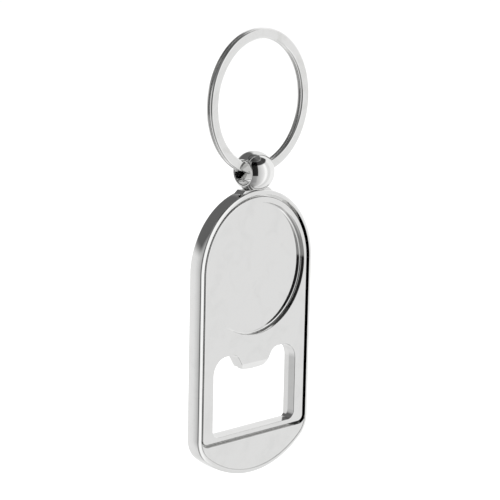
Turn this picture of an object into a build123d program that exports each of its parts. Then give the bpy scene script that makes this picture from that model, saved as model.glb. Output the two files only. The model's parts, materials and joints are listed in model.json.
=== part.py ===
from build123d import *
import os
from math import asin, cos, degrees, radians, sin, sqrt

# Keychain bottle opener, hanging from its split ring. Millimetres, +Z up, front towards -Y, width along X.
# The origin is on the inside of the split ring, straight above the axis that the ball turns on.
# Y = 0 is the middle plane of the ring, the ball and the frame.

# Split ring: one flat wire, two turns side by side, joined by a short jog inside the ball.
RING_OUTER_R = 16.4
WIRE_WIDTH = 2.3  # across the flat, along the ring's radius
WIRE_THICK = 0.88  # one turn, along the ring's axis
WIRE_EDGE_R = 0.25
TURN_GAP = 0.04
RING_LEAN = 1.15  # the ring's centre stands this far to the +X side of the ball
RING_YAW = 3.5  # degrees that the ring hangs turned in the wide bore, from +X towards +Y
JOG_SPAN = 16.0  # degrees of the ring in which the wire crosses from one turn to the other
JOG_END_GAP = 1.5  # degrees between the jog and each end of the wire

# Ball: a truncated sphere on a flat landing, bored through along X for the ring.
BALL_R = 4.7
BORE_R = 2.75
BORE_EDGE_R = 0.25
WIRE_RISE = 0.6  # the wire's middle above the bore's axis
BALL_TO_RECESS = 22.2
FOOT_GAP = 0.05  # between the ball's foot and the landing, and under the rivet's head

# Rivet: head in the ball's bore, plain shank, tail peened into a countersink inside the frame.
RIVET_R = 0.9
RIVET_CLEARANCE = 0.05
RIVET_HEAD_R = 1.3
RIVET_HEAD_THICK = 0.35
RIVET_HEAD_DOME = 0.25
RIVET_SEAT_ABOVE_LANDING = 0.85
RIVET_TAIL_R = 1.5
RIVET_TAIL_THICK = 0.17

# Frame: half round on top, straight sides, shallow round chin.
THICKNESS = 4.1
HALF_WIDTH = 17.85
ARC_ABOVE_RECESS = 0.4  # the outer arc's centre above the recess's centre
CHIN_R = 24.1
CHIN_CENTRE_BELOW = 24.0  # below the recess's centre
CHIN_CORNER_R = 4.0
FRONT_EDGE_R = 0.5
BACK_EDGE_R = 0.8
LANDING_ABOVE_RECESS = 18.35
LANDING_HALF_TOP = 3.9
LANDING_HALF_FOOT = 5.3
LANDING_THICK = 2.7
TAIL_ABOVE_POCKET = 0.1  # the peened tail sits this far up inside the wall
TAIL_ROOM_R = 1.75
TAIL_ROOM_DEPTH = 0.5

# Opener plate: inset in the frame's pocket with a groove all round.
PLATE_HALF_WIDTH = 16.2
PLATE_BOTTOM_BELOW = 38.75  # below the recess's centre
PLATE_THICK = 1.9
PLATE_INSET = 0.2  # the plate's face behind the rim's face
PLATE_CORNER_R = 1.5
PLATE_EDGE_R = 0.3
GROOVE = 0.65
GLUE_THICK = 0.1
GLUE_MARGIN = 0.6

# Recess for a 30 mm domed label.
RECESS_R = 15.25
RECESS_DEPTH = 1.3

# Opening, measured down from the recess's centre.
OPENING_HALF_WIDTH = 13.1
OPENING_BOTTOM = 37.6
OPENING_TOP = 19.05
OPENING_CORNER_R = 2.2
NOTCH_OUTER_R = 4.0
NOTCH_INNER_R = 2.5
NOTCH_INNER_X = 5.9
TOOTH_R = 23.3  # the tooth's lower edge is round about the recess's centre
TOOTH_HALF_WIDTH = 3.45
TOOTH_CORNER_R = 0.8
TOOTH_BEVEL_HEIGHT = 1.6
TOOTH_BEVEL_DEPTH = 0.8
OPENING_EDGE_R = 0.15
BACKING_STEP = 0.1  # the frame's opening is this much larger all round than the plate's
BACKING_EDGE_R = 0.45

# Heights and depths that follow.
ring_inner_r = RING_OUTER_R - WIRE_WIDTH
ring_mid_r = RING_OUTER_R - WIRE_WIDTH / 2
ring_z = -sqrt(ring_inner_r**2 - RING_LEAN**2)
pivot_z = ring_z - sqrt(ring_mid_r**2 - RING_LEAN**2)
turn_y = (WIRE_THICK + TURN_GAP) / 2
ball_z = pivot_z - WIRE_RISE
recess_z = ball_z - BALL_TO_RECESS
arc_z = recess_z + ARC_ABOVE_RECESS
landing_z = recess_z + LANDING_ABOVE_RECESS
foot_z = landing_z + FOOT_GAP
seat_z = landing_z + RIVET_SEAT_ABOVE_LANDING
chin_z = recess_z - CHIN_CENTRE_BELOW
front_y = -THICKNESS / 2
plate_y = front_y + PLATE_INSET
glue_y = plate_y + PLATE_THICK
pocket_y = glue_y + GLUE_THICK
tail_z = arc_z + PLATE_HALF_WIDTH + GROOVE + TAIL_ABOVE_POCKET
tail_neck_z = tail_z + RIVET_TAIL_R - RIVET_R


def front_plane(y):
    """A plane that faces -Y, with sketch x along X and sketch y along Z."""
    return Plane.XZ.offset(-y)


# Shared outlines, in X and Z.
with BuildSketch() as frame_outline:
    with BuildLine():
        crown = CenterArc((0, arc_z), HALF_WIDTH, 0, 180)
        corner_z = chin_z - sqrt(CHIN_R**2 - HALF_WIDTH**2)
        chin = ThreePointArc((-HALF_WIDTH, corner_z), (0, chin_z - CHIN_R), (HALF_WIDTH, corner_z))
        Line(crown @ 1, chin @ 0)
        Line(chin @ 1, crown @ 0)
    make_face()
    fillet(frame_outline.vertices().group_by(Axis.Y)[0], CHIN_CORNER_R)

with BuildSketch() as plate_outline:
    with BuildLine():
        plate_crown = CenterArc((0, arc_z), PLATE_HALF_WIDTH, 0, 180)
        plate_bottom_z = recess_z - PLATE_BOTTOM_BELOW
        Polyline(
            plate_crown @ 1,
            (-PLATE_HALF_WIDTH, plate_bottom_z),
            (PLATE_HALF_WIDTH, plate_bottom_z),
            plate_crown @ 0,
        )
    make_face()
    fillet(plate_outline.vertices().group_by(Axis.Y)[0], PLATE_CORNER_R)

with BuildSketch() as opening_outline:
    with BuildLine():
        tooth_turn = degrees(asin(TOOTH_HALF_WIDTH / TOOTH_R))
        tip = CenterArc((0, recess_z), TOOTH_R, 270 - tooth_turn, 2 * tooth_turn)
        side = FilletPolyline(
            tip @ 1,
            (NOTCH_INNER_X, recess_z - OPENING_TOP),
            (OPENING_HALF_WIDTH, recess_z - OPENING_TOP),
            (OPENING_HALF_WIDTH, recess_z - OPENING_BOTTOM),
            (0, recess_z - OPENING_BOTTOM),
            radius=[NOTCH_INNER_R, NOTCH_OUTER_R, OPENING_CORNER_R],
        )
        mirror(side, about=Plane.YZ)
    make_face()
    fillet(opening_outline.vertices().sort_by_distance(tip @ 0.5)[:2], TOOTH_CORNER_R)

# Split ring.
with BuildPart() as split_ring:
    across = Vector(1, 0, 0).rotate(Axis.Z, RING_YAW)
    facing = Vector(0, 1, 0).rotate(Axis.Z, RING_YAW)
    ring_centre = across * RING_LEAN + Vector(0, 0, ring_z)
    ring_axis = Axis(ring_centre, facing)
    jog_middle = degrees(asin(RING_LEAN / ring_mid_r))
    turn_span = 360 - JOG_SPAN - JOG_END_GAP

    def wire_plane(angle, aside):
        """Across the wire: angle counts from straight below the ring's centre, towards -X."""
        turned = radians(angle)
        spoke = across * -sin(turned) + Vector(0, 0, -cos(turned))
        along = across * -cos(turned) + Vector(0, 0, sin(turned))
        return Plane(origin=ring_centre + facing * aside + spoke * ring_mid_r, x_dir=spoke, z_dir=along)

    for way in (1, -1):
        with BuildSketch(wire_plane(jog_middle + way * JOG_SPAN / 2, -way * turn_y)):
            RectangleRounded(WIRE_WIDTH, WIRE_THICK, WIRE_EDGE_R)
        revolve(axis=ring_axis, revolution_arc=way * turn_span)
    jog_start = wire_plane(jog_middle + JOG_SPAN / 2, -turn_y)
    jog_end = wire_plane(jog_middle - JOG_SPAN / 2, turn_y)
    with BuildLine() as jog_path:
        Spline(
            jog_start.origin,
            wire_plane(jog_middle, 0).origin,
            jog_end.origin,
            tangents=(-jog_start.z_dir, -jog_end.z_dir),
        )
    with BuildSketch(jog_start):
        RectangleRounded(WIRE_WIDTH, WIRE_THICK, WIRE_EDGE_R)
    sweep(path=jog_path.wire(), normal=facing)

# Ball.
with BuildPart() as swivel_ball:
    with Locations((0, 0, ball_z)):
        Sphere(BALL_R)
        Cylinder(BORE_R, 3 * BALL_R, rotation=(0, 90, 0), mode=Mode.SUBTRACT)
    fillet(swivel_ball.edges().filter_by(GeomType.CIRCLE), BORE_EDGE_R)
    split(bisect_by=Plane.XY.offset(foot_z), keep=Keep.TOP)
    upward = (Align.CENTER, Align.CENTER, Align.MIN)
    with Locations((0, 0, foot_z)):
        Cylinder(RIVET_R + RIVET_CLEARANCE, ball_z - foot_z, align=upward, mode=Mode.SUBTRACT)
    with Locations((0, 0, seat_z)):
        Cylinder(RIVET_HEAD_R + RIVET_CLEARANCE, ball_z - seat_z, align=upward, mode=Mode.SUBTRACT)

# Rivet.
with BuildPart() as swivel_rivet:
    with BuildSketch(Plane.XZ):
        with BuildLine():
            head_z = seat_z + FOOT_GAP
            brow_z = head_z + RIVET_HEAD_THICK
            shank = Polyline(
                (RIVET_HEAD_R, brow_z),
                (RIVET_HEAD_R, head_z),
                (RIVET_R, head_z),
                (RIVET_R, tail_neck_z),
                (RIVET_TAIL_R, tail_z),
                (RIVET_TAIL_R, tail_z - RIVET_TAIL_THICK),
                (0, tail_z - RIVET_TAIL_THICK),
                (0, brow_z + RIVET_HEAD_DOME),
            )
            RadiusArc(shank @ 1, shank @ 0, (RIVET_HEAD_R**2 + RIVET_HEAD_DOME**2) / (2 * RIVET_HEAD_DOME))
        make_face()
    revolve(axis=Axis.Z)

# Frame.
with BuildPart() as frame:
    with BuildSketch(front_plane(THICKNESS / 2)):
        add(frame_outline.sketch)
    extrude(amount=THICKNESS)
    fillet(frame.faces().sort_by(Axis.Y)[0].edges(), FRONT_EDGE_R)
    fillet(frame.faces().sort_by(Axis.Y)[-1].edges(), BACK_EDGE_R)
    with BuildSketch(front_plane(LANDING_THICK / 2)):
        with BuildLine():
            Polyline(
                (-LANDING_HALF_FOOT, arc_z),
                (LANDING_HALF_FOOT, arc_z),
                (LANDING_HALF_FOOT, arc_z + sqrt(HALF_WIDTH**2 - LANDING_HALF_FOOT**2)),
                (LANDING_HALF_TOP, landing_z),
                (-LANDING_HALF_TOP, landing_z),
                (-LANDING_HALF_FOOT, arc_z + sqrt(HALF_WIDTH**2 - LANDING_HALF_FOOT**2)),
                close=True,
            )
        make_face()
    extrude(amount=LANDING_THICK)
    with BuildSketch(front_plane(pocket_y)):
        add(plate_outline.sketch)
        offset(amount=GROOVE)
    extrude(amount=THICKNESS, mode=Mode.SUBTRACT)
    with BuildSketch(front_plane(THICKNESS / 2)):
        add(opening_outline.sketch)
        offset(amount=BACKING_STEP)
    extrude(amount=THICKNESS, mode=Mode.SUBTRACT)
    fillet(frame.faces().sort_by(Axis.Y)[-1].inner_wires().edges(), BACKING_EDGE_R)
    with BuildSketch(Plane.XZ):
        with BuildLine():
            Polyline(
                (0, landing_z + FOOT_GAP),
                (RIVET_R, landing_z + FOOT_GAP),
                (RIVET_R, tail_neck_z),
                (RIVET_TAIL_R, tail_z),
                (TAIL_ROOM_R, tail_z),
                (TAIL_ROOM_R, tail_z - TAIL_ROOM_DEPTH),
                (0, tail_z - TAIL_ROOM_DEPTH),
                close=True,
            )
        make_face()
    revolve(axis=Axis.Z, mode=Mode.SUBTRACT)

# Opener plate.
with BuildPart() as opener_plate:
    with BuildSketch(front_plane(glue_y)):
        add(plate_outline.sketch)
    extrude(amount=PLATE_THICK)
    with BuildSketch(front_plane(glue_y)):
        add(opening_outline.sketch)
    extrude(amount=PLATE_THICK, mode=Mode.SUBTRACT)
    plate_face = opener_plate.faces().sort_by(Axis.Y)[0]
    fillet(plate_face.outer_wire().edges(), PLATE_EDGE_R)
    fillet(opener_plate.faces().sort_by(Axis.Y)[0].inner_wires().edges(), OPENING_EDGE_R)
    with BuildSketch(front_plane(plate_y + RECESS_DEPTH)):
        with Locations((0, recess_z)):
            Circle(RECESS_R)
    extrude(amount=PLATE_THICK, mode=Mode.SUBTRACT)
    with BuildSketch(Plane.YZ):
        with BuildLine():
            bevel_z = recess_z - TOOTH_R
            run_out = TOOTH_BEVEL_DEPTH / TOOTH_BEVEL_HEIGHT
            Polyline(
                (plate_y, bevel_z + TOOTH_BEVEL_HEIGHT),
                (plate_y - run_out, bevel_z + TOOTH_BEVEL_HEIGHT),
                (plate_y - run_out, bevel_z - TOOTH_BEVEL_HEIGHT),
                (plate_y + 2 * TOOTH_BEVEL_DEPTH, bevel_z - TOOTH_BEVEL_HEIGHT),
                close=True,
            )
        make_face()
    extrude(amount=NOTCH_INNER_X, both=True, mode=Mode.SUBTRACT)

# Bond between the plate and the floor of the frame's pocket.
with BuildPart() as plate_adhesive:
    with BuildSketch(front_plane(pocket_y)):
        add(plate_outline.sketch)
        offset(amount=-GLUE_MARGIN)
    extrude(amount=GLUE_THICK)
    with BuildSketch(front_plane(pocket_y)):
        add(opening_outline.sketch)
        offset(amount=GLUE_MARGIN)
    extrude(amount=GLUE_THICK, mode=Mode.SUBTRACT)

os.makedirs("parts", exist_ok=True)
split_ring.part.label = "split_ring"
export_step(split_ring.part, "parts/split_ring.step")
swivel_ball.part.label = "swivel_ball"
export_step(swivel_ball.part, "parts/swivel_ball.step")
swivel_rivet.part.label = "swivel_rivet"
export_step(swivel_rivet.part, "parts/swivel_rivet.step")
frame.part.label = "frame"
export_step(frame.part, "parts/frame.step")
opener_plate.part.label = "opener_plate"
export_step(opener_plate.part, "parts/opener_plate.step")
plate_adhesive.part.label = "plate_adhesive"
export_step(plate_adhesive.part, "parts/plate_adhesive.step")
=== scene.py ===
import json
from math import asin, atan2, ceil, cos, degrees, hypot, pi, radians, sin, sqrt, tan

import bmesh
import bpy
from mathutils import Matrix, Vector
from mathutils.geometry import tessellate_polygon

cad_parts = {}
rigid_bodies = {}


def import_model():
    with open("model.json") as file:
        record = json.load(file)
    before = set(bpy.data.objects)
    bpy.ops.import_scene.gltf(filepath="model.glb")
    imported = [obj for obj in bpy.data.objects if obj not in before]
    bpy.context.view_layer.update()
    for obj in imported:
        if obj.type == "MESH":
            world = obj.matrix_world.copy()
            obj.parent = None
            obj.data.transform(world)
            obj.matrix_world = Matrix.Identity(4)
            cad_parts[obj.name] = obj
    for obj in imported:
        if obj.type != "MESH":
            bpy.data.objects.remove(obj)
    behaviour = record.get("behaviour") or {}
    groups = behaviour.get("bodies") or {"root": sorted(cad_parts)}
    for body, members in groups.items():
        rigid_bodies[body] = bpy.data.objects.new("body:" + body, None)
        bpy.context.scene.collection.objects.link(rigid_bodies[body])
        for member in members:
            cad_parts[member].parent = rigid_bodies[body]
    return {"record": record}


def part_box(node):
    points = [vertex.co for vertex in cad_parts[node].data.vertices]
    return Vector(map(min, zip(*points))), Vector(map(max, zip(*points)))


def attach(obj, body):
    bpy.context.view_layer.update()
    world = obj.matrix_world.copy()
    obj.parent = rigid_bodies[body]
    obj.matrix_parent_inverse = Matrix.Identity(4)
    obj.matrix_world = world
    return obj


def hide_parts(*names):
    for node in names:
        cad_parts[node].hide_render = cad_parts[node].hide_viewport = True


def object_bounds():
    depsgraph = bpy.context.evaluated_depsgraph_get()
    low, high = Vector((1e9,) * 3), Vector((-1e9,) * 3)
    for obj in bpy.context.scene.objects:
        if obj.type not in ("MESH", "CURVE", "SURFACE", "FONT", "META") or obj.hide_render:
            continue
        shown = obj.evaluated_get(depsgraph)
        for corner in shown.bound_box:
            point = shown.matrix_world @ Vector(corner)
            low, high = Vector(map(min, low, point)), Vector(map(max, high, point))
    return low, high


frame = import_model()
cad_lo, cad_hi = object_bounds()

# Keychain bottle opener in mirror chrome, hanging from its split ring. Metres, +Z up, front towards -Y.
MM = 0.001
ARC_STEP = 2.0  # degrees between points on a large arc
ARC_STEPS_MIN = 8  # points on the smallest rounded corner
WELD = 1e-7
CUTTER_REACH = 4.1 * MM  # how far ahead of the front the pocket's cutter starts

# Split ring.
TURN_GAP = 0.1 * MM
WIRE_THICK = 0.82 * MM
WIRE_WIDTH = 2.3 * MM
WIRE_EDGE_R = 0.36 * MM
JOG_SPAN = 16.0  # degrees
JOG_END_GAP = 1.5  # degrees
JOG_STEPS = 16

# Ball.
BORE_R = 2.75 * MM
BORE_EDGE_R = 0.25 * MM
BORE_EDGE_STEPS = 16
RIVET_CLEARANCE = 0.05 * MM
RIVET_R = 0.9 * MM
RIVET_HEAD_R = 1.3 * MM
RIVET_HEAD_THICK = 0.35 * MM
RIVET_HEAD_DOME = 0.25 * MM

# Frame.
CHIN_R = 24.1 * MM
CHIN_CORNER_R = 6.5 * MM
RIM_WIDTH = 0.72 * MM  # a gently domed bead all round the front
RIM_TURN = (2.0, 14.0)  # degrees that the bead leans outward at its inner and outer edge
RIM_EDGE_R = 0.3 * MM
CREASE_SLOPE = 75.0  # degrees that the fine crease inside the bead falls on each side
CREASE_LIP_R = 0.03 * MM
CREASE_ROOT_R = 0.05 * MM
CREASE_DEPTH = 0.12 * MM
BACK_EDGE_R = 0.8 * MM
SIDE_CROWN = 7.0  # degrees that the crowned side wall turns away at each edge
GROOVE = 0.58 * MM
GLUE_THICK = 0.1 * MM
LANDING_HALF_TOP = 3.9 * MM
LANDING_HALF_FOOT = 5.3 * MM
LANDING_THICK = 2.7 * MM
LANDING_EDGE_R = 0.25 * MM
LANDING_CORNER_R = 0.35 * MM
LANDING_WAIST_R = 1.6 * MM  # the hollow where the landing's side meets its flare
LANDING_WAIST_INSET = 0.4 * MM
LANDING_WAIST_RISE = 0.1 * MM
LANDING_FLARE = 1.6 * MM  # how far the flare runs out beyond the foot, to die away in the crown
LANDING_FLARE_DROP = 0.12 * MM
LANDING_FLARE_R = 0.3 * MM
LANDING_ROOT = 1.5 * MM  # how deep the landing stands in the crown

# Opener plate. The opening is measured down from the recess's centre.
PLATE_CORNER_R = 1.5 * MM
PLATE_EDGE_R = 0.3 * MM
RECESS_EDGE_R = 0.1 * MM
RECESS_FOOT_R = 0.45 * MM
OPENING_HALF_WIDTH = 13.1 * MM
OPENING_BOTTOM = 37.6 * MM
OPENING_TOP = 19.05 * MM
OPENING_CORNER_R = 1.9 * MM
OPENING_EDGE_R = 0.15 * MM
OPENING_DRAFT = 4.5  # degrees
NOTCH_OUTER_R = 4.0 * MM
NOTCH_INNER_R = 2.5 * MM
NOTCH_INNER_X = 5.9 * MM
TOOTH_R = 23.3 * MM
TOOTH_HALF_WIDTH = 3.45 * MM
TOOTH_ROUND_HALF_WIDTH = 2.9 * MM
TOOTH_CORNER_R = 0.8 * MM
TOOTH_BEVEL_HEIGHT = 1.6 * MM
TOOTH_BEVEL_DEPTH = 0.8 * MM
TOOTH_BEVEL_OVERRUN = 0.5  # of the bevel's own height and depth, past each end
BACKING_STEP = 0.1 * MM
BACKING_CORNER_R = 0.8 * MM
BACKING_EDGE_R = 0.45 * MM

X, Y, Z = Vector((1, 0, 0)), Vector((0, 1, 0)), Vector((0, 0, 1))
SQUARE = ((-1, -1), (1, -1), (1, 1), (-1, 1))


# An outline is a closed list of (point, outward normal) in X and Z, counter-clockwise as seen from the front.


def rounded(corners):
    """The outline through corners given as (x, z, radius)."""
    points = []
    for i, (x, z, radius) in enumerate(corners):
        corner = Vector((x, z))
        before = Vector(corners[i - 1][:2])
        after = Vector(corners[(i + 1) % len(corners)][:2])
        heading = (corner - before).normalized()
        leaving = (after - corner).normalized()
        turn = atan2(heading.cross(leaving), heading.dot(leaving))
        side = 1 if turn > 0 else -1
        start = corner - heading * radius * tan(abs(turn) / 2)
        right = Vector((heading.y, -heading.x))
        centre = start - right * radius * side
        steps = max(ARC_STEPS_MIN, ceil(degrees(abs(turn)) / ARC_STEP))
        for k in range(steps + 1):
            normal = Matrix.Rotation(turn * k / steps, 2) @ right
            points.append((centre + normal * radius * side, normal))
    return points


def trace(offset, y, angle, hand, moves):
    """A smooth stretch of profile across a wall, as (offset, y, normal's angle from outward towards +Y).

    Each move is (radius, turn in degrees), or (length, 0) for a straight run. A negative turn is hollow.
    """
    points = [(offset, y, angle)]
    for size, turn in moves:
        if not turn:
            offset -= hand * size * sin(radians(angle))
            y += hand * size * cos(radians(angle))
            points.append((offset, y, angle))
            continue
        side = 1 if turn > 0 else -1
        centre_offset = offset - side * size * cos(radians(angle))
        centre_y = y - side * size * sin(radians(angle))
        steps = max(ARC_STEPS_MIN, ceil(abs(turn) / (5 * ARC_STEP)))
        for k in range(1, steps + 1):
            now = angle + hand * turn * k / steps
            offset = centre_offset + side * size * cos(radians(now))
            y = centre_y + side * size * sin(radians(now))
            points.append((offset, y, now))
        angle += hand * turn
    return points


class Shell:
    """A closed mesh under construction. Each face corner carries its exact surface normal."""

    def __init__(self):
        self.mesh = bmesh.new()
        self.exact = self.mesh.loops.layers.float_vector.new("exact")

    def face(self, corners):
        """One face from (place, normal) corners, turned to look the way its normals do."""
        places = [place for place, _ in corners]
        facing = sum(((b - places[0]).cross(c - places[0]) for b, c in zip(places[1:], places[2:])), Vector())
        if facing.length < 1e-16:
            return
        if facing.dot(sum((normal for _, normal in corners), Vector())) < 0:
            corners = corners[::-1]
        made = self.mesh.faces.new([self.mesh.verts.new(place) for place, _ in corners])
        for loop, (_, normal) in zip(made.loops, corners):
            loop[self.exact] = normal

    def skin(self, rings, closed=True):
        """Quads between neighbouring rings, each a list of (place, normal)."""
        for near, far in zip(rings, rings[1:]):
            count = len(near)
            for i in range(count if closed else count - 1):
                j = (i + 1) % count
                self.face([near[i], near[j], far[j], far[i]])

    def wall(self, outline, profile):
        """The surface that profile makes along outline. Returns its first and last edge in X and Z."""
        rings = []
        for offset, y, angle in profile:
            c, s = cos(radians(angle)), sin(radians(angle))
            rings.append(
                [
                    (
                        Vector((p.x + n.x * offset, y, p.y + n.y * offset)),
                        Vector((n.x * c, s, n.y * c)),
                    )
                    for p, n in outline
                ]
            )
        self.skin(rings)
        return [[place for place, _ in rings[i]] for i in (0, -1)]

    def cap(self, edges, normal):
        """The flat face inside the first edge, with the other edges as holes."""
        places = [place for edge in edges for place in edge]
        for triangle in tessellate_polygon(edges):
            self.face([(places[i], normal) for i in triangle])

    def lathe(self, origin, axis, across, profile):
        """Profile, as (along, radius, normal along, normal outward), turned about an axis."""
        other = axis.cross(across)
        count = int(360 / ARC_STEP)
        rings = []
        for along, radius, normal_along, normal_out in profile:
            ring = []
            for k in range(count):
                spoke = across * cos(2 * pi * k / count) + other * sin(2 * pi * k / count)
                place = origin + axis * along + spoke * radius
                ring.append((place, axis * normal_along + spoke * normal_out))
            rings.append(ring)
        self.skin(rings)

    def spindle(self, moves):
        """Straight runs between (height, radius) points, turned about Z."""
        for (z0, r0), (z1, r1) in zip(moves, moves[1:]):
            length = hypot(z1 - z0, r1 - r0)
            n_z, n_out = (r0 - r1) / length, (z1 - z0) / length
            self.lathe(Vector(), Z, X, [(z0, r0, n_z, n_out), (z1, r1, n_z, n_out)])

    def finish(self, name):
        """The shell as an object, welded."""
        bmesh.ops.remove_doubles(self.mesh, verts=self.mesh.verts, dist=WELD)
        made = bpy.data.meshes.new(name)
        self.mesh.to_mesh(made)
        self.mesh.free()
        piece = bpy.data.objects.new(name, made)
        bpy.context.scene.collection.objects.link(piece)
        return piece


def combine(piece, tool, operation):
    """Boolean of two shells. It keeps every face corner's exact normal, and turns those of a cutter."""
    if operation == "DIFFERENCE":
        for item in tool.data.attributes["exact"].data:
            item.vector = -Vector(item.vector)
    modifier = piece.modifiers.new("combine", "BOOLEAN")
    modifier.operation = operation
    modifier.solver = "EXACT"
    modifier.object = tool
    made = bpy.data.meshes.new_from_object(piece.evaluated_get(bpy.context.evaluated_depsgraph_get()))
    piece.modifiers.clear()
    piece.data = made
    bpy.data.objects.remove(tool)


def settle(piece, body, material, node):
    """Shades a piece by its exact normals, and puts it in the place of its CAD node."""
    mesh = piece.data
    exact = mesh.attributes["exact"]
    normals = [Vector(item.vector).normalized() for item in exact.data]
    mesh.attributes.remove(exact)
    mesh.shade_smooth()
    mesh.normals_split_custom_set(normals)
    mesh.materials.clear()
    mesh.materials.append(material)
    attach(piece, body)
    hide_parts(node)


# Materials: scales in 1 / metre, heights in metres.
HAIR_SCALE = 9.0 / MM
HAIR_STRETCH = 0.06  # along Z, so that the hairs run up the body
HAIR_LEAN = 0.5  # radians
HAIR_TURN = 0.3 * MM  # per radian round the ring, where the hairs follow the wire
HAIR_ROUGH = 0.035
HAIR_HEIGHT = 0.002 * MM
HAIR_STRENGTH = 0.06
SMEAR_SCALE = 0.22 / MM
PEEL_SCALE = 0.3 / MM
PEEL_HEIGHT = 0.02 * MM
PEEL_STRENGTH = 0.05
SPECK_SCALE = 0.45 / MM
SPECK_SIZE = (0.03, 0.06)  # of a cell, from solid to gone
SPECK_ROUGH = 0.12
MOTTLE_HEIGHT = 0.02 * MM
MOTTLE_STRENGTH = 0.1


class Nodes:
    """Short ways to add and join nodes in one tree."""

    def __init__(self, tree):
        self.tree = tree
        tree.nodes.clear()

    def add(self, kind, inputs=(), **settings):
        node = self.tree.nodes.new("ShaderNode" + kind)
        for key, value in settings.items():
            setattr(node, key, value)
        for key, value in dict(inputs).items():
            if isinstance(value, bpy.types.NodeSocket):
                self.tree.links.new(value, node.inputs[key])
            else:
                node.inputs[key].default_value = value
        return node

    def maths(self, operation, *values):
        return self.add("Math", dict(enumerate(values)), operation=operation).outputs[0]

    def fade(self, value, start, end, low=0.0, high=1.0):
        """Smooth step from low at start to high at end."""
        inputs = {"Value": value, "From Min": start, "From Max": end, "To Min": low, "To Max": high}
        return self.add("MapRange", inputs, interpolation_type="SMOOTHSTEP").outputs[0]


def metal(name, dull, bright, polish, smudge, along_wire=None):
    """Polished metal: hairline scratches, faint smudges and a slow unevenness left by the buffing wheel."""
    material = bpy.data.materials.new(name)
    material.use_nodes = True
    n = Nodes(material.node_tree)
    place = n.add("TexCoord").outputs["Object"]

    if along_wire:
        apart = n.add("VectorMath", {0: place, 1: along_wire}, operation="SUBTRACT").outputs[0]
        split = n.add("SeparateXYZ", {0: apart})
        x, z = split.outputs["X"], split.outputs["Z"]
        reach = n.maths("SQRT", n.maths("ADD", n.maths("MULTIPLY", x, x), n.maths("MULTIPLY", z, z)))
        turn = n.maths("MULTIPLY", n.maths("ARCTAN2", x, z), HAIR_TURN)
        lines = n.add("CombineXYZ", {0: reach, 1: split.outputs["Y"], 2: turn}).outputs[0]
    else:
        lay = {"Vector": place, "Scale": (1.0, 1.0, HAIR_STRETCH), "Rotation": (0.0, HAIR_LEAN, 0.0)}
        lines = n.add("Mapping", lay).outputs[0]

    hairs = n.add("TexNoise", {"Vector": lines, "Scale": HAIR_SCALE, "Detail": 3.0, "Roughness": 0.6})
    smears = n.add("TexNoise", {"Vector": place, "Scale": SMEAR_SCALE, "Detail": 4.0, "Distortion": 0.8})
    peel = n.add("TexNoise", {"Vector": place, "Scale": PEEL_SCALE, "Detail": 1.5})
    specks = n.add("TexVoronoi", {"Vector": place, "Scale": SPECK_SCALE, "Randomness": 1.0})

    smear = n.fade(smears.outputs[0], 0.45, 0.75)
    hair = n.fade(hairs.outputs[0], 0.35, 0.7)
    speck = n.fade(specks.outputs["Distance"], *SPECK_SIZE, 1.0, 0.0)
    rough = n.maths("MULTIPLY_ADD", smear, smudge, n.maths("MULTIPLY_ADD", hair, HAIR_ROUGH, polish))
    rough = n.maths("MULTIPLY_ADD", speck, SPECK_ROUGH, rough)
    colour = n.add("Mix", {"Factor": smear, "A": bright, "B": dull}, data_type="RGBA")
    uneven = {"Strength": PEEL_STRENGTH, "Distance": PEEL_HEIGHT, "Height": peel.outputs[0]}
    slow = n.add("Bump", uneven)
    scratched = {"Strength": HAIR_STRENGTH, "Distance": HAIR_HEIGHT, "Height": hairs.outputs[0]}
    fine = n.add("Bump", scratched | {"Normal": slow.outputs[0]})
    look = {"Base Color": colour.outputs["Result"], "Roughness": rough, "Normal": fine.outputs[0]}
    shader = n.add("BsdfPrincipled", look | {"Metallic": 1.0})
    n.add("OutputMaterial", {"Surface": shader.outputs[0]})
    return material


def plain(name, low, high, scale, roughness):
    """Matt surface with a faint mottle."""
    material = bpy.data.materials.new(name)
    material.use_nodes = True
    n = Nodes(material.node_tree)
    place = n.add("TexCoord").outputs["Object"]
    mottle = n.add("TexNoise", {"Vector": place, "Scale": scale, "Detail": 3.0})
    colour = n.add("Mix", {"Factor": mottle.outputs[0], "A": low, "B": high}, data_type="RGBA")
    relief = {"Strength": MOTTLE_STRENGTH, "Distance": MOTTLE_HEIGHT, "Height": mottle.outputs[0]}
    bump = n.add("Bump", relief)
    look = {"Base Color": colour.outputs["Result"], "Roughness": roughness, "Normal": bump.outputs[0]}
    shader = n.add("BsdfPrincipled", look)
    n.add("OutputMaterial", {"Surface": shader.outputs[0]})
    return material


# Places that follow from the frame.
recess = next(m for m in frame["record"]["mounts"] if m["name"] == "label_recess")
recess_z = recess["pos_m"][2]
recess_r = recess["dims"]["r_mm"] * MM
recess_depth = recess["dims"]["length_mm"] * MM

frame_lo, frame_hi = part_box("frame")
front_y, back_y = frame_lo.y, frame_hi.y
half_width = frame_hi.x
landing_z = frame_hi.z
chin_z = frame_lo.z + CHIN_R

plate_lo, plate_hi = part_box("opener_plate")
plate_y, glue_y = plate_lo.y, plate_hi.y
plate_half_width = plate_hi.x
arc_z = plate_hi.z - plate_half_width
pocket_y = glue_y + GLUE_THICK

ring_lo, ring_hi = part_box("split_ring")
ring_centre = (ring_lo + ring_hi) / 2
ring_mid_r = (ring_hi.z - ring_lo.z) / 2 - WIRE_WIDTH / 2
ring_yaw = atan2(ring_centre.y, ring_centre.x)

ball_lo, ball_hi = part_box("swivel_ball")
ball_r = ball_hi.y
ball_z = ball_hi.z - ball_r
foot_z = ball_lo.z

rivet_lo, rivet_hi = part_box("swivel_rivet")
head_z = rivet_hi.z - RIVET_HEAD_DOME - RIVET_HEAD_THICK

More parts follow.
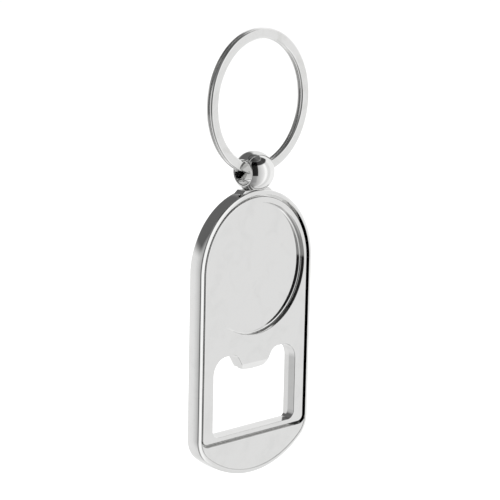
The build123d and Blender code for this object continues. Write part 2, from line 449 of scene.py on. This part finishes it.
CHROME_DULL = (0.695, 0.695, 0.69, 1.0)
CHROME_BRIGHT = (0.72, 0.72, 0.715, 1.0)
STEEL_DULL = (0.68, 0.68, 0.67, 1.0)
STEEL_BRIGHT = (0.73, 0.73, 0.725, 1.0)
casing_chrome = metal("casing_chrome", CHROME_DULL, CHROME_BRIGHT, polish=0.035, smudge=0.04)
plate_chrome = metal("plate_chrome", CHROME_DULL, CHROME_BRIGHT, polish=0.03, smudge=0.03)
ball_chrome = metal("ball_chrome", CHROME_DULL, CHROME_BRIGHT, polish=0.025, smudge=0.03)
rivet_steel = metal("rivet_steel", STEEL_DULL, STEEL_BRIGHT, polish=0.2, smudge=0.1)
ring_axis = (ring_centre.x, 0.0, ring_centre.z)
ring_steel = metal("ring_steel", STEEL_DULL, STEEL_BRIGHT, polish=0.05, smudge=0.05, along_wire=ring_axis)
CREAM_LOW, CREAM_HIGH = (0.70, 0.69, 0.64, 1.0), (0.78, 0.77, 0.73, 1.0)
WHITE_LOW, WHITE_HIGH = (0.86, 0.86, 0.86, 1.0), (0.9, 0.9, 0.9, 1.0)
adhesive = plain("adhesive", CREAM_LOW, CREAM_HIGH, scale=0.8 / MM, roughness=0.6)
floor_white = plain("floor_white", WHITE_LOW, WHITE_HIGH, scale=3.0, roughness=0.7)


# Shared outlines.


def arch(half, bottom_z, corner_r, spread=0.0):
    """Half round on top and flat below, spread outward all round."""
    wide = half + spread
    top, low, corner = arc_z + wide, bottom_z - spread, corner_r + spread
    return rounded([(-wide, low, corner), (wide, low, corner), (wide, top, wide), (-wide, top, wide)])


def circle(centre_z, radius):
    return rounded([(x * radius, centre_z + z * radius, radius) for x, z in SQUARE])


def casing_outline():
    """Half round on top, straight sides, shallow round chin."""
    lean_x = half_width - CHIN_CORNER_R
    swing = CHIN_R - CHIN_CORNER_R
    slope_x, slope_z = lean_x / swing, -sqrt(1 - (lean_x / swing) ** 2)
    keel_z = chin_z + CHIN_R / slope_z
    knee_z = chin_z + (CHIN_R - half_width * slope_x) / slope_z
    top = arc_z + half_width
    return rounded(
        [
            (0, keel_z, CHIN_R),
            (half_width, knee_z, CHIN_CORNER_R),
            (half_width, top, half_width),
            (-half_width, top, half_width),
            (-half_width, knee_z, CHIN_CORNER_R),
        ]
    )


def opening_outline(corner_r, spread=0.0):
    """The cap opening: two round notches with the tooth between them."""
    top, bottom = recess_z - OPENING_TOP + spread, recess_z - OPENING_BOTTOM - spread
    side = OPENING_HALF_WIDTH + spread
    tooth_r = TOOTH_R - spread
    turn = asin(TOOTH_ROUND_HALF_WIDTH / TOOTH_R)
    apex = recess_z - tooth_r / cos(turn)
    tip_x = TOOTH_HALF_WIDTH - spread
    tip_z = apex + tip_x * tan(turn)
    notch_x = NOTCH_INNER_X - spread
    half = [
        (side, bottom, corner_r),
        (side, top, NOTCH_OUTER_R + spread),
        (notch_x, top, NOTCH_INNER_R + spread),
        (tip_x, tip_z, TOOTH_CORNER_R),
    ]
    return rounded(half + [(0, apex, tooth_r)] + [(-x, z, r) for x, z, r in reversed(half)])


# Pieces.


def casing_shell():
    """The casing's outside and its opening, without the landing and the pocket."""
    shell = Shell()
    shape = casing_outline()
    tilt, lean = RIM_TURN
    bead_r = RIM_WIDTH / (sin(radians(lean)) - sin(radians(tilt)))
    bead = [(bead_r, lean - tilt), (RIM_EDGE_R, 90 - lean - SIDE_CROWN)]
    _, bead_y, _ = trace(0, front_y, tilt - 90, 1, bead)[-1]
    back_drop = BACK_EDGE_R * (1 - sin(radians(SIDE_CROWN)))
    crown_r = (back_y - back_drop - bead_y) / (2 * sin(radians(SIDE_CROWN)))
    crease = [
        (CREASE_LIP_R, CREASE_SLOPE),
        (CREASE_DEPTH, 0),
        (CREASE_ROOT_R, -2 * CREASE_SLOPE),
        (CREASE_DEPTH, 0),
        (CREASE_LIP_R, CREASE_SLOPE + tilt),
    ]
    outside = crease + bead + [(crown_r, 2 * SIDE_CROWN), (BACK_EDGE_R, 90 - SIDE_CROWN)]
    inset = max(offset for offset, _, _ in trace(0, front_y, -90, 1, outside))
    front, back = shell.wall(shape, trace(-inset, front_y, -90, 1, outside))

    backing = opening_outline(BACKING_CORNER_R, BACKING_STEP)
    through = back_y - front_y - BACKING_EDGE_R
    brink, rear = shell.wall(backing, trace(0, front_y, -180, -1, [(through, 0), (BACKING_EDGE_R, 90)]))
    shell.cap([front, brink], -Y)
    shell.cap([back, rear], Y)
    return shell.finish("casing")


def crown_at(x):
    """Height of the casing's round top."""
    return arc_z + sqrt(half_width**2 - x**2)


def landing_shell():
    """The flat-topped boss under the ball, flared into the casing's round top."""
    shell = Shell()
    foot_x = LANDING_HALF_FOOT
    flare_x = foot_x + LANDING_FLARE
    half = [
        (flare_x, crown_at(flare_x) - LANDING_ROOT, LANDING_FLARE_R),
        (flare_x, crown_at(flare_x) - LANDING_FLARE_DROP, LANDING_FLARE_R),
        (foot_x - LANDING_WAIST_INSET, crown_at(foot_x) + LANDING_WAIST_RISE, LANDING_WAIST_R),
        (LANDING_HALF_TOP, landing_z, LANDING_CORNER_R),
    ]
    shape = rounded(half + [(-x, z, r) for x, z, r in reversed(half)])
    run = LANDING_THICK - 2 * LANDING_EDGE_R
    sides = [(LANDING_EDGE_R, 90), (run, 0), (LANDING_EDGE_R, 90)]
    near, far = shell.wall(shape, trace(-LANDING_EDGE_R, -LANDING_THICK / 2, -90, 1, sides))
    shell.cap([near], -Y)
    shell.cap([far], Y)
    return shell.finish("landing")


def pocket_cutter():
    """The space that the plate sits in, with the groove round it."""
    shell = Shell()
    shape = arch(plate_half_width, plate_lo.z, PLATE_CORNER_R, GROOVE)
    mouth, seat = shell.wall(shape, [(0, front_y - CUTTER_REACH, 0), (0, pocket_y, 0)])
    shell.cap([mouth], -Y)
    shell.cap([seat], Y)
    return shell.finish("pocket")


def make_frame():
    piece = casing_shell()
    combine(piece, landing_shell(), "UNION")
    combine(piece, pocket_cutter(), "DIFFERENCE")
    settle(piece, "opener", casing_chrome, "frame")


def plate_shell():
    """The plate with its recess and its opening, before the tooth is bevelled."""
    shell = Shell()
    shape = arch(plate_half_width, plate_lo.z, PLATE_CORNER_R)
    run = glue_y - plate_y - PLATE_EDGE_R
    front, back = shell.wall(shape, trace(-PLATE_EDGE_R, plate_y, -90, 1, [(PLATE_EDGE_R, 90), (run, 0)]))

    fall = recess_depth - RECESS_EDGE_R - RECESS_FOOT_R
    down = [(RECESS_EDGE_R, 90), (fall, 0), (RECESS_FOOT_R, -90)]
    disc = circle(recess_z, recess_r)
    lip, floor_edge = shell.wall(disc, trace(RECESS_EDGE_R, plate_y, -90, -1, down))

    hole = opening_outline(OPENING_CORNER_R)
    draft = radians(OPENING_DRAFT)
    fall = (glue_y - plate_y - OPENING_EDGE_R * (1 - sin(draft))) / cos(draft)
    walls = [(OPENING_EDGE_R, 90 - OPENING_DRAFT), (fall, 0)]
    brink, rear = shell.wall(hole, trace(OPENING_EDGE_R, plate_y, -90, -1, walls))
    shell.cap([front, lip, brink], -Y)
    shell.cap([floor_edge], -Y)
    shell.cap([back, rear], Y)
    return shell.finish("bottle_plate")


def bevel_cutter():
    """A wedge across the tooth's front, for the slanted face at its tip."""
    shell = Shell()
    height, depth = TOOTH_BEVEL_HEIGHT, TOOTH_BEVEL_DEPTH
    tip_z = recess_z - TOOTH_R
    top_z = tip_z + (1 + TOOTH_BEVEL_OVERRUN) * height
    low_z = tip_z - TOOTH_BEVEL_OVERRUN * height
    near_y = plate_y - TOOTH_BEVEL_OVERRUN * depth
    deep_y = plate_y + (1 + TOOTH_BEVEL_OVERRUN) * depth
    slant = [Vector((0, near_y, top_z)), Vector((0, deep_y, low_z)), Vector((0, near_y, low_z))]
    ends = [[p + X * x for p in slant] for x in (-NOTCH_INNER_X, NOTCH_INNER_X)]
    shell.cap([ends[0]], -X)
    shell.cap([ends[1]], X)
    middle = (slant[0] + slant[1] + slant[2]) / 3
    for i in range(3):
        j = (i + 1) % 3
        normal = (slant[j] - slant[i]).cross(X).normalized()
        normal *= 1 if normal.dot(slant[i] - middle) > 0 else -1
        shell.face([(p, normal) for p in (ends[0][i], ends[0][j], ends[1][j], ends[1][i])])
    return shell.finish("wedge")


def make_plate():
    piece = plate_shell()
    combine(piece, bevel_cutter(), "DIFFERENCE")
    settle(piece, "opener", plate_chrome, "opener_plate")


def ball_shell():
    """The ball and its cross bore, with the bore's rounded mouths."""
    shell = Shell()
    centre = Vector((0, 0, ball_z))
    # The mouth's rounding touches the ball outside and the bore inside.
    rim_r = BORE_R + BORE_EDGE_R
    rim_x = sqrt((ball_r - BORE_EDGE_R) ** 2 - rim_r**2)
    rim_turn = asin(rim_r / (ball_r - BORE_EDGE_R))
    span = pi - 2 * rim_turn
    count = int(degrees(span) / ARC_STEP)
    turns = [rim_turn + span * k / count for k in range(count + 1)]
    shell.lathe(centre, X, Y, [(ball_r * cos(a), ball_r * sin(a), cos(a), sin(a)) for a in turns])
    for way in (1, -1):
        mouth = []
        for k in range(BORE_EDGE_STEPS + 1):
            a = rim_turn - (rim_turn + pi / 2) * k / BORE_EDGE_STEPS
            along, radius = rim_x + BORE_EDGE_R * cos(a), rim_r + BORE_EDGE_R * sin(a)
            mouth.append((way * along, radius, way * cos(a), sin(a)))
        shell.lathe(centre, X, Y, mouth)
    shell.lathe(centre, X, Y, [(-rim_x, BORE_R, 0, -1), (rim_x, BORE_R, 0, -1)])
    return shell.finish("ball")


def turned(moves, name):
    """A closed shell from straight runs between (height, radius) points."""
    shell = Shell()
    shell.spindle(moves)
    return shell.finish(name)


def make_ball():
    piece = ball_shell()
    below = foot_z - ball_r
    base = [(below, 0), (below, 2 * ball_r), (foot_z, 2 * ball_r), (foot_z, 0)]
    combine(piece, turned(base, "base"), "DIFFERENCE")
    hole_r, seat_r = RIVET_R + RIVET_CLEARANCE, RIVET_HEAD_R + RIVET_CLEARANCE
    seat_z = head_z - RIVET_CLEARANCE
    drill = [(below, 0), (below, hole_r), (seat_z, hole_r), (seat_z, seat_r), (ball_z, seat_r), (ball_z, 0)]
    combine(piece, turned(drill, "drill"), "DIFFERENCE")
    settle(piece, "ball", ball_chrome, "swivel_ball")


def make_rivet():
    shell = Shell()
    brow_z = head_z + RIVET_HEAD_THICK
    dome_r = (RIVET_HEAD_R**2 + RIVET_HEAD_DOME**2) / (2 * RIVET_HEAD_DOME)
    dome_turn = asin(RIVET_HEAD_R / dome_r)
    dome = []
    for k in range(ARC_STEPS_MIN + 1):
        a = dome_turn * k / ARC_STEPS_MIN
        dome.append((brow_z + RIVET_HEAD_DOME - dome_r * (1 - cos(a)), dome_r * sin(a), cos(a), sin(a)))
    shell.lathe(Vector(), Z, X, dome)
    tail = [(rivet_lo.z, 0), (rivet_lo.z, RIVET_R), (head_z, RIVET_R)]
    shell.spindle(tail + [(head_z, RIVET_HEAD_R), (brow_z, RIVET_HEAD_R)])
    settle(shell.finish("rivet"), "opener", rivet_steel, "swivel_rivet")


def make_ring():
    """One flat wire: front turn, jog across inside the ball, back turn."""
    middle = degrees(asin(hypot(ring_centre.x, ring_centre.y) / ring_mid_r))
    turn_y = (WIRE_THICK + TURN_GAP) / 2
    first, last = middle + JOG_SPAN / 2, middle - JOG_SPAN / 2
    span = 360 - JOG_SPAN - JOG_END_GAP
    count = int(span / ARC_STEP)
    stations = [(first + span * (1 - k / count), -turn_y) for k in range(count + 1)]
    for k in range(1, JOG_STEPS):
        t = k / JOG_STEPS
        stations.append((first + (last - first) * t, turn_y * (2 * t * t * (3 - 2 * t) - 1)))
    stations += [(last - span * k / count, turn_y) for k in range(count + 1)]

    across = Vector((cos(ring_yaw), sin(ring_yaw), 0))
    facing = Z.cross(across)
    spokes = [-across * sin(radians(angle)) - Z * cos(radians(angle)) for angle, _ in stations]
    places = [ring_centre + facing * y + spoke * ring_mid_r for spoke, (_, y) in zip(spokes, stations)]
    section = rounded([(x * WIRE_WIDTH / 2, y * WIRE_THICK / 2, WIRE_EDGE_R) for x, y in SQUARE])
    shell = Shell()
    rings = []
    for i, place in enumerate(places):
        ahead = (places[min(i + 1, len(places) - 1)] - places[max(i - 1, 0)]).normalized()
        spoke = (spokes[i] - ahead * spokes[i].dot(ahead)).normalized()
        side = ahead.cross(spoke)
        side *= 1 if side.y > 0 else -1
        rings.append([(place + spoke * p.x + side * p.y, spoke * n.x + side * n.y) for p, n in section])
    shell.skin(rings)
    for end, beyond in ((0, places[0] - places[1]), (-1, places[-1] - places[-2])):
        shell.cap([[place for place, _ in rings[end]]], beyond.normalized())
    settle(shell.finish("key_loop"), "key_ring", ring_steel, "split_ring")


make_frame()
make_plate()
make_ball()
make_rivet()
make_ring()
for node_object in bpy.data.objects:
    if node_object.name.startswith("plate_adhesive"):
        node_object.data.materials.clear()
        node_object.data.materials.append(adhesive)


# Studio: a white tent with dark flags standing in it, seen only by the metal.
FLOOR_DROP = 30 * MM
FLOOR_SIZE = 6.0
TONES = [  # azimuth, brightness of the tent there
    (-180, 1.05),
    (-150, 1.05),
    (-137, 1.0),
    (-128, 0.8),
    (-119, 0.45),
    (-108, 0.25),
    (-85, 0.32),
    (-64, 0.4),
    (-26, 0.64),
    (-8, 0.82),
    (12, 1.05),
    (24, 1.35),
    (33, 1.25),
    (39, 1.0),
    (53, 1.0),
    (64, 1.2),
    (90, 1.15),
    (125, 1.02),
    (180, 1.05),
]
TONE_MAX = 2.0
FLOOR_TONE = 0.8  # of the tent straight down
FLOOR_FADE = (-90, -20)  # elevations between which the tent reaches its full brightness
BACKDROP = 1.2
FLAGS = [  # azimuth, half width, low and high elevation, softness, depth
    (-45, 19, -56, 62, 5, 0.25),
    (-43, 22, -17, 62, 2, 0.94),
    (5, 72, 40, 62, 3, 0.93),
    (-172, 45, 14, 66, 8, 0.85),
    (0, 190, 62, 100, 4, 0.85),
]


def make_world():
    world = bpy.data.worlds.new("studio")
    bpy.context.scene.world = world
    world.use_nodes = True
    n = Nodes(world.node_tree)
    split = n.add("SeparateXYZ", {0: n.add("TexCoord").outputs["Generated"]})
    x, y, z = split.outputs
    rise = n.maths("MULTIPLY", n.maths("ARCSINE", z), 180 / pi)
    heading = n.maths("ARCTAN2", x, n.maths("MULTIPLY", y, -1.0))
    ramp = n.add("ValToRGB", {0: n.maths("MULTIPLY_ADD", heading, 0.5 / pi, 0.5)})
    elements = ramp.color_ramp.elements
    for azimuth, _ in TONES[1:-1]:
        elements.new(azimuth / 360 + 0.5)
    for element, (azimuth, tone) in zip(elements, TONES):
        element.color = (tone / TONE_MAX,) * 3 + (1.0,)
    level = n.fade(rise, *FLOOR_FADE, FLOOR_TONE * TONE_MAX, TONE_MAX)
    light = n.maths("MULTIPLY", ramp.outputs[0], level)
    for azimuth, half, low, high, soft, depth in FLAGS:
        aside = n.maths("WRAP", n.maths("SUBTRACT", heading, radians(azimuth)), pi, -pi)
        aside = n.maths("MULTIPLY", n.maths("ABSOLUTE", aside), 180 / pi)
        mask = n.fade(aside, half - soft, half + soft, depth, 0.0)
        mask = n.maths("MULTIPLY", mask, n.fade(rise, low - soft, low + soft))
        mask = n.maths("MULTIPLY", mask, n.fade(rise, high - soft, high + soft, 1.0, 0.0))
        light = n.maths("MULTIPLY", n.maths("SUBTRACT", 1.0, mask), light)
    white = (1.0, 1.0, 1.0, 1.0)
    tent = n.add("Background", {"Color": white, "Strength": light})
    backdrop = n.add("Background", {"Color": white, "Strength": BACKDROP})
    mirrored = n.add("LightPath").outputs["Is Glossy Ray"]
    mixed = n.add("MixShader", {0: mirrored, 1: backdrop.outputs[0], 2: tent.outputs[0]})
    n.add("OutputWorld", {"Surface": mixed.outputs[0]})


def make_floor():
    shell = Shell()
    half = FLOOR_SIZE / 2
    z = cad_lo.z - FLOOR_DROP
    shell.face([(Vector((x * half, y * half, z)), Z) for x, y in SQUARE])
    floor = shell.finish("floor")
    floor.data.attributes.remove(floor.data.attributes["exact"])
    floor.data.materials.append(floor_white)
    floor.visible_glossy = False


def make_light(name, azimuth, elevation, distance, size, power):
    a, e = radians(azimuth), radians(elevation)
    away = Vector((sin(a) * cos(e), -cos(a) * cos(e), sin(e)))
    data = bpy.data.lights.new(name, "AREA")
    data.shape = "DISK"
    data.size = size
    data.energy = power
    lamp = bpy.data.objects.new(name, data)
    lamp.location = (cad_lo + cad_hi) / 2 + away * distance
    lamp.rotation_mode = "QUATERNION"
    lamp.rotation_quaternion = (-away).to_track_quat("-Z", "Y")
    lamp.visible_glossy = False
    bpy.context.scene.collection.objects.link(lamp)


# Camera.
VIEW_AZIMUTH = -44.93
VIEW_ELEVATION = 11.69
VIEW_ROLL = 1.25
VIEW_DISTANCE = 446.97 * MM
VIEW_AIM = Vector((-2.84, -2.13, 4.82)) * MM  # from the recess's centre line
LENS = 142.9
SENSOR = 36.0


def make_camera():
    a, e, roll = radians(VIEW_AZIMUTH), radians(VIEW_ELEVATION), radians(VIEW_ROLL)
    back = Vector((sin(a) * cos(e), -cos(a) * cos(e), sin(e)))
    right = (-back).cross(Z).normalized()
    up = back.cross(right)
    tilted_right = right * cos(roll) + up * sin(roll)
    tilted_up = up * cos(roll) - right * sin(roll)
    data = bpy.data.cameras.new("camera")
    data.lens = LENS
    data.sensor_width = SENSOR
    camera = bpy.data.objects.new("camera", data)
    turn = Matrix((tilted_right, tilted_up, back)).transposed()
    camera.matrix_world = Matrix.Translation(VIEW_AIM + Z * recess_z + back * VIEW_DISTANCE) @ turn.to_4x4()
    bpy.context.scene.collection.objects.link(camera)
    bpy.context.scene.camera = camera


make_world()
make_floor()
make_light("key_light", azimuth=30, elevation=65, distance=0.9, size=0.7, power=6.0)
make_camera()
bpy.context.scene.view_settings.view_transform = "Standard"
